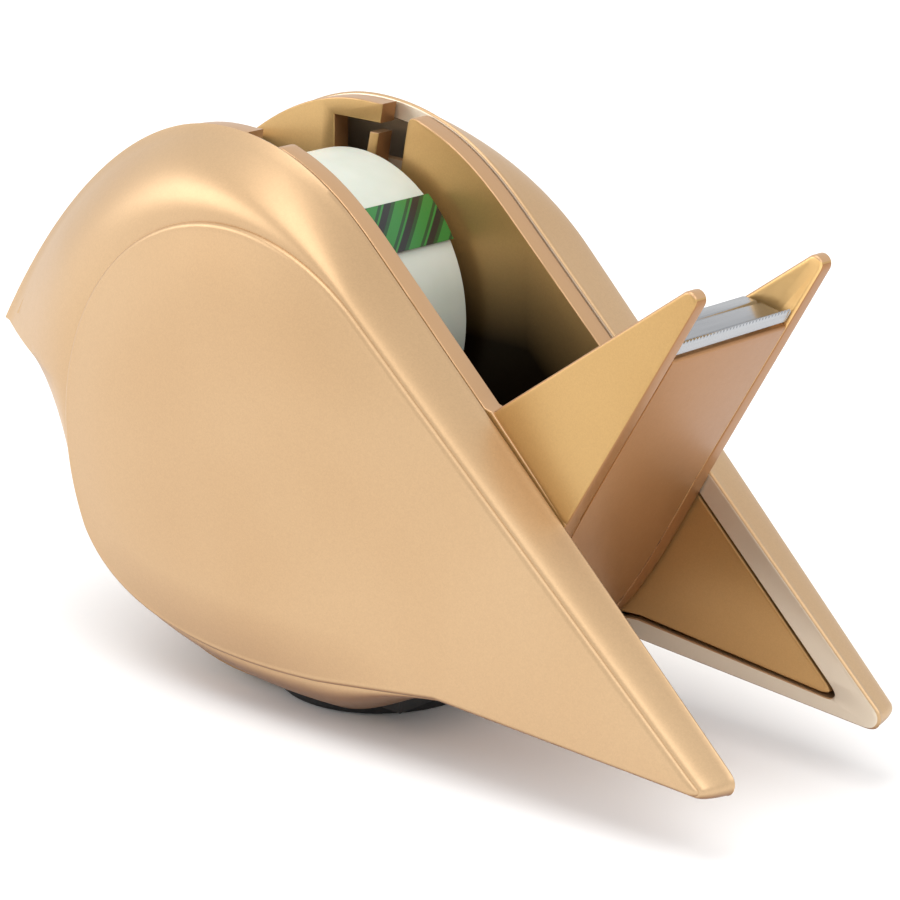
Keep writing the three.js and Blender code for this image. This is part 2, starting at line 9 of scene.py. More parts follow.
import bmesh
import bpy
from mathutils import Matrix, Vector


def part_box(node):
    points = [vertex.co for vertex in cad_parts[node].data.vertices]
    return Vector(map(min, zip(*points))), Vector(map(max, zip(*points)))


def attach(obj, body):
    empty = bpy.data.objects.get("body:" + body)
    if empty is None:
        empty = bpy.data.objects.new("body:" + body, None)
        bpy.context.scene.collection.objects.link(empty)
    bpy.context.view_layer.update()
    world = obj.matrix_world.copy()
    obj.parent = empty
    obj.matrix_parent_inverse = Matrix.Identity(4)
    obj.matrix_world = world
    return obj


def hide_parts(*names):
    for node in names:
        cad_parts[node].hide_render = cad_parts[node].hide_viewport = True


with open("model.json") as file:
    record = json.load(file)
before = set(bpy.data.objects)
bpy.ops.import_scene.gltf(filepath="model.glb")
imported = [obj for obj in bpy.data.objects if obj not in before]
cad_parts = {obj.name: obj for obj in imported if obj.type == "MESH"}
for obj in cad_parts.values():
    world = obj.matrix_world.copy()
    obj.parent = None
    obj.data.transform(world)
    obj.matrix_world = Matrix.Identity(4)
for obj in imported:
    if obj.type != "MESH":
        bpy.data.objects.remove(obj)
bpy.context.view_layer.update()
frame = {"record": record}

# ---- Dimensions, in millimetres ----
MM = 0.001
LENGTH = 143.6
LIFT = 2.5
GAP = 0.3
SEAM_Y = 15.0
FRAME_T = 3.0
FRAME_OUT = SEAM_Y - GAP
FRAME_IN = FRAME_OUT - FRAME_T
CREST_Z = 79.6
WING_U, WING_Z, WING_R = 59.7, 33.65, 35.2
WING_EDGE_Y = 24.5
TAIL_EDGE_Y = 20.2
WING_STEP = 1.1
WING_CROWN = 2.4
WING_FILLET = 0.8
WING_LIP = 0.7
WING_SOFT = 12.0
BAND_POWER = 2.2
BREAST_EASE = 0.8
BREAST_TOP_Z = 62.0
BREAST_REAR_U = 80.0
RIM_FILLET = 0.45
SHELL_WALL = 2.4
RIM_WIDTH = 3.0
REBATE_Y = 17.0
ROLL_U, ROLL_Z, ROLL_R, ROLL_WIDTH = 50.5, 51.0, 21.7, 19.0
CORE_R = 14.2
CORE_T = 1.2
AXLE_R = 2.2
SLOT_HALF = 2.6
SLOT_RUN = (6.7, 33.0)
FINGER_TOP_Z = 74.8
WINDOW_TOP_Z = 76.3
EAR_TIP = (135.85, 73.7)
EAR_BASE_TOP = (99.3, 48.4)
EAR_BASE_LOW = (112.6, 35.7)
EAR_LEAN = 0.9
EAR_TIP_T = 2.3
EAR_TIP_R = 1.3
EAR_EDGE = 0.5
COVER_T = 1.4
PLATE_TOP_Z = 60.1
PANEL_INSET = 3.45
PANEL_T = 1.2
PAD_U, PAD_R, PAD_T = 64.0, 15.0, 1.4
TAB_T = 0.35
TAB_START, TAB_END = 31.0, 51.0


def at(u, y, z):
    return Vector(((u - LENGTH / 2) * MM, y * MM, (z + LIFT) * MM))


# ---- Curves: each returns n points from its start up to, but not including, its end ----
def mix(p, q, t):
    return tuple(a + (b - a) * t for a, b in zip(p, q))


def line(p, q, n):
    return [mix(p, q, i / n) for i in range(n)]


def quadratic(p, q, r, n):
    return [mix(mix(p, q, i / n), mix(q, r, i / n), i / n) for i in range(n)]


def cubic(p, q, r, s, n):
    points = []
    for i in range(n):
        t = i / n
        a, b, c = mix(p, q, t), mix(q, r, t), mix(r, s, t)
        points.append(mix(mix(a, b, t), mix(b, c, t), t))
    return points


def arc(centre, radius, start, end, n):
    points = []
    for i in range(n):
        angle = radians(start + (end - start) * i / n)
        points.append((centre[0] + radius * cos(angle), centre[1] + radius * sin(angle)))
    return points


def toward(p, q, distance):
    return mix(p, q, distance / hypot(q[0] - p[0], q[1] - p[1]))


def soften(loop, radius, turn=20.0, steps=5):
    """Rounds every corner of a loop that turns by more than the given angle."""
    points = []
    for k, corner in enumerate(loop):
        before, after = loop[k - 1], loop[(k + 1) % len(loop)]
        a = atan2(corner[1] - before[1], corner[0] - before[0])
        b = atan2(after[1] - corner[1], after[0] - corner[0])
        bend = abs((degrees(b - a) + 180) % 360 - 180)
        if bend < turn:
            points.append(corner)
            continue
        room = 0.45 * min(hypot(corner[0] - before[0], corner[1] - before[1]),
                          hypot(corner[0] - after[0], corner[1] - after[1]))
        reach = min(radius, room)
        start, end = toward(corner, before, reach), toward(corner, after, reach)
        points += quadratic(start, corner, end, steps) + [end]
    return points


def inset_loop(loop, distance):
    """Moves a loop's points inwards, along the bisector at each one."""
    area = sum(p[0] * q[1] - q[0] * p[1] for p, q in zip(loop, loop[1:] + loop[:1]))
    side = 1.0 if area > 0 else -1.0
    moved = []
    for k, (u, z) in enumerate(loop):
        before, after = loop[k - 1], loop[(k + 1) % len(loop)]
        a = Vector((u - before[0], z - before[1])).normalized()
        b = Vector((after[0] - u, after[1] - z)).normalized()
        bisector = Vector((-a.y - b.y, a.x + b.x))
        reach = distance * side * 2 / max(bisector.length_squared, 0.6)
        moved.append((u + bisector.x * reach, z + bisector.y * reach))
    return moved


# ---- The bird's outline and the edge of its wing, matched point for point ----
COUNTS = (44, 26, 34, 34, 26, 20, 26, 5)
TIP_ROUND = 1.6
ANCHORS = {
    "tail_top": (142.6, 8.4, -2.5, 0.4),
    "back_top": (78.4, 67.1, -0.681, -0.732),
    "crest": (49.0, CREST_Z, 0.0, -1.0),
    "beak": (0.0, 43.0, 1.57, 0.62),
    "bottom_front": (52.0, -0.8, 0.0, 1.0),
    "bottom_rear": (70.0, -0.8, 0.0, 1.0),
    "tail_root": (100.0, 8.6, 0.05, 1.0),
    "tail_low": (141.6, 6.0, -2.5, 0.9),
}
HANDLES = {
    "back": ((70.4, 74.5, -0.5, -0.86), (62.0, CREST_Z, 0.0, -1.0)),
    "head": ((31.0, CREST_Z, 0.0, -1.0), (13.0, 63.5, 0.845, -0.535)),
    "breast": ((17.5, 38.5, 0.4, 0.9), (19.0, -0.4, 0.5, 0.86)),
    "rise": ((80.0, -0.6, 0.0, 1.0), (88.0, 8.2, -0.1, 1.0)),
}


def outline_curves(inset, counts=COUNTS):
    def placed(point):
        u, z, mu, mz = point
        return (u + mu * inset, z + mz * inset)

    p = {name: placed(point) for name, point in ANCHORS.items()}
    h = {name: [placed(point) for point in pair] for name, pair in HANDLES.items()}
    top = toward(p["tail_top"], p["back_top"], TIP_ROUND)
    low = toward(p["tail_low"], p["tail_root"], TIP_ROUND)
    end = mix(p["tail_low"], p["tail_top"], 0.5)
    return [
        line(top, p["back_top"], counts[0]),
        cubic(p["back_top"], *h["back"], p["crest"], counts[1]),
        cubic(p["crest"], *h["head"], p["beak"], counts[2]),
        cubic(p["beak"], *h["breast"], p["bottom_front"], counts[3]),
        cubic(p["bottom_front"], mix(p["bottom_front"], p["bottom_rear"], 0.33),
              mix(p["bottom_front"], p["bottom_rear"], 0.66), p["bottom_rear"], counts[4]),
        cubic(p["bottom_rear"], *h["rise"], p["tail_root"], counts[5]),
        line(p["tail_root"], low, counts[6]),
        quadratic(low, p["tail_low"], end, counts[7]) + quadratic(end, p["tail_top"], top, counts[7]),
    ]


def outline(inset):
    return [point for curve in outline_curves(inset) for point in curve]


def wing(inset):
    centre = (WING_U, WING_Z)
    radius = WING_R - inset
    tip = (140.6 - 2.4 * inset, 7.8 + 0.5 * inset)
    low = (140.2 - 2.4 * inset, 7.2 + 0.9 * inset)
    root = (97.0, 9.6 + inset)
    rear = (76.0, 6.8 + inset)
    top_start = arc(centre, radius, 47, 48, 1)[0]
    bottom = arc(centre, radius, 206, 207, 1)[0]
    above = toward(tip, top_start, 0.5)
    below = toward(low, root, 0.5)
    return (
        line(above, top_start, COUNTS[0])
        + arc(centre, radius, 47, 100, COUNTS[1])
        + arc(centre, radius, 100, 171, COUNTS[2])
        + arc(centre, radius, 171, 206, COUNTS[3])
        + quadratic(bottom, (37.5, 3.4 + inset), rear, COUNTS[4])
        + line(rear, root, COUNTS[5])
        + line(root, below, COUNTS[6])
        + quadratic(below, mix(low, tip, 0.5), above, 2 * COUNTS[7])
    )


def edge_y(u):
    """The wing edge's distance from the mirror plane, easing off towards the tail."""
    ease = 6.0
    beyond = ease * log(1 + exp(min((u - 74.0) / ease, 40.0)))
    return WING_EDGE_Y - (WING_EDGE_Y - TAIL_EDGE_Y) * min(beyond / 68.0, 1.0)


def distance_to(point, loop):
    """The shortest distance from a point to a loop."""
    best = 1e9
    px, py = point
    for (ax, ay), (bx, by) in zip(loop, loop[1:] + loop[:1]):
        dx, dy = bx - ax, by - ay
        span = dx * dx + dy * dy
        t = max(0.0, min(1.0, ((px - ax) * dx + (py - ay) * dy) / span)) if span else 0.0
        best = min(best, (px - ax - t * dx) ** 2 + (py - ay - t * dy) ** 2)
    return sqrt(best)


def crown(u, z):
    reach = 1.35 * WING_R
    r = hypot(u - WING_U, z - WING_Z)
    return WING_CROWN * max(0.0, 1 - (r / reach) ** 2) ** 2


# ---- Mesh builders ----
def make(name, points, faces, sharp=35.0):
    mesh = bpy.data.meshes.new(name)
    mesh.from_pydata([tuple(p) for p in points], [], faces)
    mesh.validate()
    work = bmesh.new()
    work.from_mesh(mesh)
    bmesh.ops.recalc_face_normals(work, faces=work.faces)
    work.to_mesh(mesh)
    work.free()
    mesh.shade_smooth()
    mesh.set_sharp_from_angle(angle=radians(sharp))
    obj = bpy.data.objects.new(name, mesh)
    bpy.context.scene.collection.objects.link(obj)
    return obj


def loft(rings, start_point=None, end_point=None):
    """Quads between rings of equal length, closed by fans or by flat faces at both ends."""
    count = len(rings[0])
    points = [p for ring in rings for p in ring]
    faces = []
    for r in range(len(rings) - 1):
        for k in range(count):
            n = (k + 1) % count
            faces.append((r * count + k, r * count + n, (r + 1) * count + n, (r + 1) * count + k))
    last = (len(rings) - 1) * count
    for apex, base in ((start_point, 0), (end_point, last)):
        if apex is None:
            faces.append(tuple(range(base, base + count)))
        else:
            points.append(apex)
            hub = len(points) - 1
            faces += [(base + k, base + (k + 1) % count, hub) for k in range(count)]
    return points, faces


def plate_rings(loop, y0, y1, edge):
    rings = []
    for angle in (0, 30, 60, 90):
        a = radians(angle)
        rings.append((edge * (1 - sin(a)), y0 + edge * (1 - cos(a))))
    rings += [(inset, y0 + y1 - y) for inset, y in reversed(rings)]
    return [[(u, y, z) for u, z in inset_loop(loop, inset)] for inset, y in rings]


def plate(name, loop, y0, y1, edge=0.25, bend=None, side=1):
    """A side profile given a thickness, with softly rounded edges."""
    rings = plate_rings(loop, y0, y1, edge)
    if bend:
        rings = [[bend(*p) for p in ring] for ring in rings]
    points, faces = loft([[at(u, side * y, z) for u, y, z in ring] for ring in rings])
    return make(name, points, faces)


def turned(name, outline_points, origin, axis="Y", sides=96, wobble=None):
    """A lathe of (radius, height) pairs round an axis through origin. Radius 0 closes an end."""
    rings = []
    for i, (radius, height) in enumerate(outline_points):
        ring = []
        for k in range(sides):
            a = 2 * pi * k / sides
            r = radius * (wobble(i, a) if wobble else 1.0)
            if axis == "Y":
                ring.append(origin + Vector((r * cos(a), height, r * sin(a))) * MM)
            else:
                ring.append(origin + Vector((r * cos(a), r * sin(a), height)) * MM)
        rings.append(ring)
    points = [p for ring in rings for p in ring]
    faces = []
    for i in range(len(rings)):
        j = (i + 1) % len(rings)
        for k in range(sides):
            n = (k + 1) % sides
            faces.append((i * sides + k, i * sides + n, j * sides + n, j * sides + k))
    obj = make(name, points, faces, sharp=40)
    work = bmesh.new()
    work.from_mesh(obj.data)
    bmesh.ops.remove_doubles(work, verts=work.verts, dist=1e-7)
    bmesh.ops.recalc_face_normals(work, faces=work.faces)
    work.to_mesh(obj.data)
    work.free()
    obj.data.set_sharp_from_angle(angle=radians(40))
    return obj


def rounded_ring(outer, inner, y0, y1, edge):
    """The section of a ring with rounded corners, for turned()."""
    corners = [(inner, y0), (outer, y0), (outer, y1), (inner, y1)]
    return soften(corners, edge, steps=4)


# ---- Materials ----
def linear(r, g, b):
    def one(v):
        v /= 255
        return v / 12.92 if v <= 0.04045 else ((v + 0.055) / 1.055) ** 2.4

    return (one(r), one(g), one(b), 1.0)


class Surface:
    """A Principled material whose colour, roughness and bump come from procedural textures."""

    def __init__(self, name, metallic=0.0, coat=0.0, coat_roughness=0.2):
        self.material = bpy.data.materials.new(name)
        self.material.use_nodes = True
        self.nodes = self.material.node_tree.nodes
        self.links = self.material.node_tree.links
        self.shader = self.nodes["Principled BSDF"]
        self.shader.inputs["Metallic"].default_value = metallic
        self.shader.inputs["Coat Weight"].default_value = coat
        self.shader.inputs["Coat Roughness"].default_value = coat_roughness
        self.coords = self.nodes.new("ShaderNodeTexCoord")

    def stretched(self, scale):
        node = self.nodes.new("ShaderNodeMapping")
        node.inputs["Scale"].default_value = scale
        self.links.new(self.coords.outputs["Object"], node.inputs["Vector"])
        return node.outputs["Vector"]

    def noise(self, scale, detail=3.0, vector=None):
        node = self.nodes.new("ShaderNodeTexNoise")
        node.inputs["Scale"].default_value = scale
        node.inputs["Detail"].default_value = detail
        self.links.new(vector or self.coords.outputs["Object"], node.inputs["Vector"])
        return node.outputs["Fac"]

    def cells(self, scale):
        node = self.nodes.new("ShaderNodeTexVoronoi")
        node.inputs["Scale"].default_value = scale
        self.links.new(self.coords.outputs["Object"], node.inputs["Vector"])
        return node.outputs["Color"]

    def ramp(self, source, stops, sharp=False):
        node = self.nodes.new("ShaderNodeValToRGB")
        elements = node.color_ramp.elements
        if sharp:
            node.color_ramp.interpolation = "CONSTANT"
        while len(elements) < len(stops):
            elements.new(1.0)
        for element, (position, colour) in zip(elements, stops):
            element.position = position
            element.color = colour
        self.links.new(source, node.inputs["Fac"])
        return node.outputs["Color"]

    def spread(self, source, low, high):
        node = self.nodes.new("ShaderNodeMapRange")
        node.inputs["To Min"].default_value = low
        node.inputs["To Max"].default_value = high
        self.links.new(source, node.inputs["Value"])
        return node.outputs["Result"]

    def math(self, operation, a, b):
        node = self.nodes.new("ShaderNodeMath")
        node.operation = operation
        for slot, value in enumerate((a, b)):
            if isinstance(value, (int, float)):
                node.inputs[slot].default_value = value
            else:
                self.links.new(value, node.inputs[slot])
        return node.outputs["Value"]

    def mixed(self, factor, a, b, blend="MIX"):
        node = self.nodes.new("ShaderNodeMix")
        node.data_type = "RGBA"
        node.blend_type = blend
        if isinstance(factor, (int, float)):
            node.inputs[0].default_value = factor
        else:
            self.links.new(factor, node.inputs[0])
        for slot, value in ((6, a), (7, b)):
            if isinstance(value, tuple):
                node.inputs[slot].default_value = value
            else:
                self.links.new(value, node.inputs[slot])
        return node.outputs[2]

    def axes(self):
        node = self.nodes.new("ShaderNodeSeparateXYZ")
        self.links.new(self.coords.outputs["Object"], node.inputs["Vector"])
        return node.outputs

    def facing(self):
        node = self.nodes.new("ShaderNodeSeparateXYZ")
        self.links.new(self.coords.outputs["Normal"], node.inputs["Vector"])
        return node.outputs

    def turned_to(self, direction):
        """How far a face looks along a direction, from -1 to 1."""
        node = self.nodes.new("ShaderNodeVectorMath")
        node.operation = "DOT_PRODUCT"
        node.inputs[1].default_value = direction
        self.links.new(self.coords.outputs["Normal"], node.inputs[0])
        return node.outputs["Value"]

    def colour(self, socket):
        self.links.new(socket, self.shader.inputs["Base Color"])

    def roughness(self, source, low, high):
        self.links.new(self.spread(source, low, high), self.shader.inputs["Roughness"])

    def bump(self, *layers):
        """Layers of (height socket, distance in mm), from the coarsest to the finest."""
        normal = None
        for source, distance in layers:
            node = self.nodes.new("ShaderNodeBump")
            node.inputs["Strength"].default_value = 1.0
            node.inputs["Distance"].default_value = distance * MM
            self.links.new(source, node.inputs["Height"])
            if normal:
                self.links.new(normal, node.inputs["Normal"])
            normal = node.outputs["Normal"]
        self.links.new(normal, self.shader.inputs["Normal"])


def metallic_paint(name, tone, shade, metallic, low, high):
    """Satin metal-effect paint: flakes, a faint orange-peel texture and slow drifts of tone."""
    s = Surface(name, metallic=metallic, coat=0.12, coat_roughness=0.28)
    drift = s.ramp(s.noise(22.0, 2.0), ((0.3, shade), (0.7, tone)))
    flakes = s.ramp(s.cells(5200.0), ((0.0, linear(226, 226, 226)), (1.0, WHITE)))
    s.colour(s.mixed(0.35, drift, flakes, "MULTIPLY"))
    s.roughness(s.noise(900.0, 4.0), low, high)
    s.bump((s.noise(650.0, 2.0), 0.006), (s.noise(5200.0, 1.0), 0.0018))
    return s


COPPER = ((0.3, linear(160, 114, 72)), (0.7, linear(172, 126, 82)))
WHITE = linear(255, 255, 255)
BACK_SLOPE = 1.094
WELL_SHADE_DEPTH = 16.0
WELL_SHADE_TOP = 63.0
WELL_SHADE_RUN = 15.0
PLATE_FACING = (0.865, 0.0, -0.5)


def gold_shell():
    """The shells' paint: paler on the parting faces that look towards each other, partly their bare
    moulding and partly a painted reflection of the light, and browner below, where painted shade darkens
    the faces turned down.
    """
    s = metallic_paint("gold_paint", linear(198, 166, 127), linear(190, 156, 116), 0.7, 0.36, 0.44)
    outer = s.shader.inputs["Base Color"].links[0].from_socket
    # The parting faces and the hollow's inward faces are paler: partly the bare moulding, partly a painted
    # reflection of the light.
    inward = s.math("LESS_THAN", s.math("MULTIPLY", s.facing()["Y"], s.axes()["Y"]), -0.9 * SEAM_Y * MM)
    face = s.ramp(s.noise(40.0, 2.0), ((0.3, linear(214, 200, 180)), (0.7, linear(224, 210, 190))))
    # Painted shade: faces turned towards the floor are darkened to a brown, standing in for the shade under
    # the belly.
    underside_for_painted_shade = s.math("MULTIPLY", s.facing()["Z"], -1.0)
    shade = s.ramp(underside_for_painted_shade, ((0.12, WHITE), (0.7, linear(170, 138, 102))))
    s.colour(s.mixed(inward, s.mixed(1.0, outer, shade, "MULTIPLY"), face))
    return s.material


def gold_frame():
    """The frame's paint: browner on its narrow faces, copper on the ears' front edges, paler inside the
    ears with painted light, and darkened down in the well with painted shade."""
    s = metallic_paint("frame_paint", linear(200, 164, 108), linear(186, 148, 92), 0.7, 0.34, 0.42)
    paint = s.shader.inputs["Base Color"].links[0].from_socket
    narrow = s.math("GREATER_THAN", s.facing()["Z"], 0.35)
    rim = s.ramp(s.noise(30.0, 2.0), ((0.3, linear(184, 146, 108)), (0.7, linear(194, 156, 116))))
    front = s.math("GREATER_THAN", s.turned_to(PLATE_FACING), 0.75)
    plate_tone = s.ramp(s.noise(22.0, 2.0), COPPER)
    x, y, z = s.axes()
    # Painted shade: the inner faces are darkened towards the well's bottom and below the back's line,
    # standing in for the shade round the roll.
    facing_roll = s.math("LESS_THAN", s.math("MULTIPLY", s.facing()["Y"], y), -0.5 * FRAME_IN * MM)
    back_top = at(ANCHORS["back_top"][0], 0, ANCHORS["back_top"][1])
    line_height = (back_top.x + BACK_SLOPE * back_top.z) / (WELL_SHADE_DEPTH * MM) - 0.1
    height = s.math("ADD", x, s.math("MULTIPLY", z, BACK_SLOPE))
    depth = s.math("ADD", s.math("MULTIPLY", height, -1.0 / (WELL_SHADE_DEPTH * MM)), line_height)
    above_floor = s.math("SUBTRACT", z, at(0, 0, WELL_SHADE_TOP).z)
    low = s.math("MULTIPLY", above_floor, -1.0 / (WELL_SHADE_RUN * MM))
    shade = s.ramp(s.math("MINIMUM", depth, low), ((0.0, WHITE), (1.0, linear(50, 46, 38))))
    # Painted light: the scooped inner faces of the ears get a paler gold, standing in for the light they
    # catch.
    painted_ear_light_mask = s.math("LESS_THAN", depth, -0.15)
    inside = s.mixed(painted_ear_light_mask, s.mixed(1.0, paint, shade, "MULTIPLY"), linear(232, 190, 126))
    broad = s.mixed(facing_roll, paint, inside)
    s.colour(s.mixed(front, s.mixed(narrow, broad, rim), plate_tone))
    return s.material


def deep_gold():
    tone, shade = linear(196, 154, 98), linear(180, 138, 84)
    return metallic_paint("deep_gold_paint", tone, shade, 0.6, 0.4, 0.48).material


def copper_cover():
    return metallic_paint("copper_paint", COPPER[1][1], COPPER[0][1], 0.6, 0.38, 0.46).material


def brushed_silver(name, tone, shade, low, high, stretch, painted_shadow_facing=None):
    """Metal with fine lines drawn along one direction, and a painted shadow, near black, on the faces
    towards another.
    """
    s = Surface(name, metallic=0.95)
    lines = s.noise(420.0, 5.0, s.stretched(stretch))
    metal = s.ramp(lines, ((0.25, shade), (0.75, tone)))
    if painted_shadow_facing:
        # Painted shadow: faces turned towards the given direction are made near black.
        metal = s.mixed(s.math("GREATER_THAN", s.turned_to(painted_shadow_facing), 0.75), metal, linear(16, 14, 12))
    s.colour(metal)
    s.roughness(lines, low, high)
    s.bump((lines, 0.004))
    return s.material


def cast_iron():
    s = Surface("cast_iron", metallic=0.55)
    grain = s.noise(700.0, 6.0)
    s.colour(s.ramp(grain, ((0.3, linear(62, 63, 66)), (0.7, linear(98, 99, 102)))))
    s.roughness(grain, 0.5, 0.8)
    s.bump((s.noise(260.0, 3.0), 0.08), (grain, 0.04))
    return s.material


def moulded_black(name, tone, shade, low, high, grain_size):
    s = Surface(name)
    grain = s.cells(grain_size)
    s.colour(s.ramp(s.noise(60.0, 3.0), ((0.3, shade), (0.7, tone))))
    s.roughness(grain, low, high)
    s.bump((grain, 0.02), (s.noise(grain_size * 2, 2.0), 0.006))
    return s.material


def core_card():
    s = Surface("card")
    fibres = s.noise(500.0, 6.0, s.stretched((1.0, 4.0, 1.0)))
    s.colour(s.ramp(fibres, ((0.25, linear(172, 152, 120)), (0.75, linear(206, 188, 156)))))
    s.roughness(fibres, 0.8, 0.95)
    s.bump((fibres, 0.03))
    return s.material


def matte_tape():
    """Frosted tape: a pale grey-green roll whose side faces show the fine rings of its layers."""
    s = Surface("frosted_tape", coat=0.15, coat_roughness=0.45)
    x, _, z = s.axes()
    from_x = s.math("SUBTRACT", x, at(ROLL_U, 0, 0).x)
    from_z = s.math("SUBTRACT", z, at(0, 0, ROLL_Z).z)
    squared = s.math("ADD", s.math("MULTIPLY", from_x, from_x), s.math("MULTIPLY", from_z, from_z))
    radius = s.math("SQRT", squared, 0.0)
    layer = s.math("SINE", s.math("MULTIPLY", radius, 2 * pi / (0.28 * MM)), 0.0)
    face = s.math("GREATER_THAN", s.math("ABSOLUTE", s.facing()["Y"], 0.0), 0.7)
    rings = s.math("MULTIPLY", s.spread(layer, 0.0, 1.0), face)
    cloud = s.noise(90.0, 3.0)
    body = s.ramp(cloud, ((0.3, linear(188, 193, 180)), (0.7, linear(202, 205, 194))))
    s.colour(s.mixed(s.math("MULTIPLY", rings, 0.35), body, linear(176, 184, 168)))
    s.roughness(s.noise(1400.0, 3.0), 0.42, 0.6)
    s.bump((rings, 0.02), (s.noise(2400.0, 2.0), 0.003))
    s.shader.inputs["Subsurface Weight"].default_value = 0.12
    s.shader.inputs["Subsurface Scale"].default_value = 2.5 * MM
    return s.material


def tab_film():
    """Plain diagonal stripes in greens and charcoal on a thin glossy film."""
    s = Surface("striped_film", coat=0.15, coat_roughness=0.25)
    x, y, z = s.axes()
    run = s.math("SUBTRACT", s.math("MULTIPLY", x, 0.62), s.math("MULTIPLY", z, 0.62))
    slant = s.math("ADD", s.math("MULTIPLY", y, 0.8), run)
    turns = s.math("FRACT", s.math("MULTIPLY", slant, 1 / (4.6 * MM)), 0.0)
    green, deep, charcoal = linear(36, 112, 44), linear(16, 62, 28), linear(18, 20, 22)
    bands = ((0.0, green), (0.4, deep), (0.52, green), (0.6, charcoal), (0.86, deep))
    s.colour(s.ramp(turns, bands, sharp=True))
    s.roughness(s.noise(1200.0, 2.0), 0.32, 0.45)
    s.bump((s.noise(800.0, 2.0), 0.003))
    return s.material


MATERIALS = {
    "gold_shell": gold_shell(),
    "gold_frame": gold_frame(),
    "deep_gold_panel": deep_gold(),
    "copper_cover": copper_cover(),
    "cast_weight": cast_iron(),
    "black_plastic": moulded_black("black_abs", linear(26, 26, 27), linear(18, 18, 19), 0.4, 0.6, 900.0),
    "rubber_pad": moulded_black("rubber", linear(24, 24, 25), linear(14, 14, 15), 0.7, 0.9, 1400.0),
    # The holder's faces towards the front plate get a painted shadow, near black, that darkens the gap
    # under the blade.
    "silver_plastic": brushed_silver(
        "silver", linear(172, 174, 177), linear(140, 142, 146), 0.16, 0.26, (1.0, 0.08, 1.0), PLATE_FACING),
    "blade_steel": brushed_silver(
        "blade", linear(182, 184, 187), linear(150, 152, 156), 0.16, 0.26, (1.0, 0.06, 1.0)),
    "plain_steel": brushed_silver(
        "steel", linear(176, 178, 182), linear(150, 152, 156), 0.24, 0.36, (1.0, 0.3, 1.0)),
    "core_card": core_card(),
    "matte_tape": matte_tape(),
    "tab_film": tab_film(),
}
SLOT_OF = {part["node"]: part["material_slot"] for part in frame["record"]["subparts"]}
BODY_OF = {node: body for body, nodes in frame["record"]["behaviour"]["bodies"].items() for node in nodes}


def finish(obj, node, material=None):
    """Puts a detailed piece in the place of a CAD node, with that node's body and finish."""
    obj.data.materials.append(material or MATERIALS[SLOT_OF[node]])
    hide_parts(node)
    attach(obj, BODY_OF[node])


def keep(node, bevel=0.15):
    """Leaves a CAD node showing, with a detailed material and softened edges."""
    obj = bpy.data.objects[node]
    obj.data.materials.clear()
    obj.data.materials.append(MATERIALS[SLOT_OF[node]])
    soft = obj.modifiers.new("soft_edges", "BEVEL")
    soft.width = bevel * MM
    soft.segments = 2
    soft.limit_method = "ANGLE"
    soft.angle_limit = radians(40)


# ---- Shells ----
def ring_at(points, height):
    return [(u, height(u, z), z) for u, z in points]


def shell_points():
    """Rings from the depth of the hollow, over the rim and the band, and up to the wing."""
    def bulge(p, a):
        """The band's rise from the seam to the wing's edge: gentler round the breast and the belly."""
        low = max(0.0, min((BREAST_TOP_Z - p[1]) / 20.0, 1.0))
        front = max(0.0, min((BREAST_REAR_U - p[0]) / 30.0, 1.0))
        return 1 - (1 - a) ** (BAND_POWER - BREAST_EASE * (low * front))

    rim_in = outline(RIM_WIDTH)
    wing_in = wing(RIM_WIDTH)
    centre = (WING_U, WING_Z)
    hollow = []
    for share in (0.25, 0.5, 0.75, 0.97):
        ring = [mix(centre, p, share) for p in wing_in]
        hollow.append(ring_at(ring, lambda u, z: edge_y(u) - SHELL_WALL + crown(u, z)))
    for a in (0.9, 0.7, 0.5, 0.3, 0.16):
        ring = []
        for p, q in zip(rim_in, wing_in):
            u, z = mix(p, q, a)
            rise = edge_y(u) - SHELL_WALL - SEAM_Y
            ring.append((u, max(SEAM_Y + rise * bulge(p, a), REBATE_Y + 0.4), z))
        hollow.append(ring)
    hollow.append(ring_at(rim_in, lambda u, z: REBATE_Y))
    hollow.append(ring_at(rim_in, lambda u, z: SEAM_Y + 0.15))
    hollow.append(ring_at(outline(RIM_WIDTH - 0.15), lambda u, z: SEAM_Y))

    rim = []
    for angle in (0, 30, 60, 90):
        a = radians(angle)
        rim.append(ring_at(outline(RIM_FILLET * (1 - sin(a))),
                           lambda u, z, a=a: SEAM_Y + RIM_FILLET * (1 - cos(a))))

    edge, start = wing(0), outline(0)
    band = []
    steps = 14
    for k in range(1, steps + 1):
        a = 0.05 + 0.95 * (k - 1) / (steps - 1)
        ring = []
        for p, q in zip(start, edge):
            u, z = mix(p, q, a)
            rise = edge_y(u) - SEAM_Y
            ring.append((u, SEAM_Y + max(rise * bulge(p, a), RIM_FILLET + 0.05), z))
        band.append(ring)

    step = []
    for angle in (12, 30, 48, 66, 80, 90):
        a = radians(angle)
        loop = wing(WING_FILLET * (1 - cos(a)))
        step.append(ring_at(loop, lambda u, z, a=a: edge_y(u) + WING_LIP * sin(a)))
    inner = wing(WING_FILLET)

    def swell(u, z):
        share = min(distance_to((u, z), inner) / WING_SOFT, 1.0)
        return edge_y(u) + WING_LIP + (WING_STEP + crown(u, z) - WING_LIP) * (1 - (1 - share) ** 2.3)

    dome = []
    shares = (0.985, 0.965, 0.94, 0.91, 0.87, 0.82, 0.76, 0.7, 0.62, 0.54, 0.45, 0.36, 0.27, 0.18, 0.09)
    for share in shares:
        ring = [mix(centre, p, share) for p in inner]
        dome.append(ring_at(ring, swell))
    rings = hollow + rim + band + step + dome
    floor = (WING_U, edge_y(WING_U) - SHELL_WALL + WING_CROWN, WING_Z)
    top = (WING_U, edge_y(WING_U) + WING_STEP + WING_CROWN, WING_Z)
    return rings, floor, top


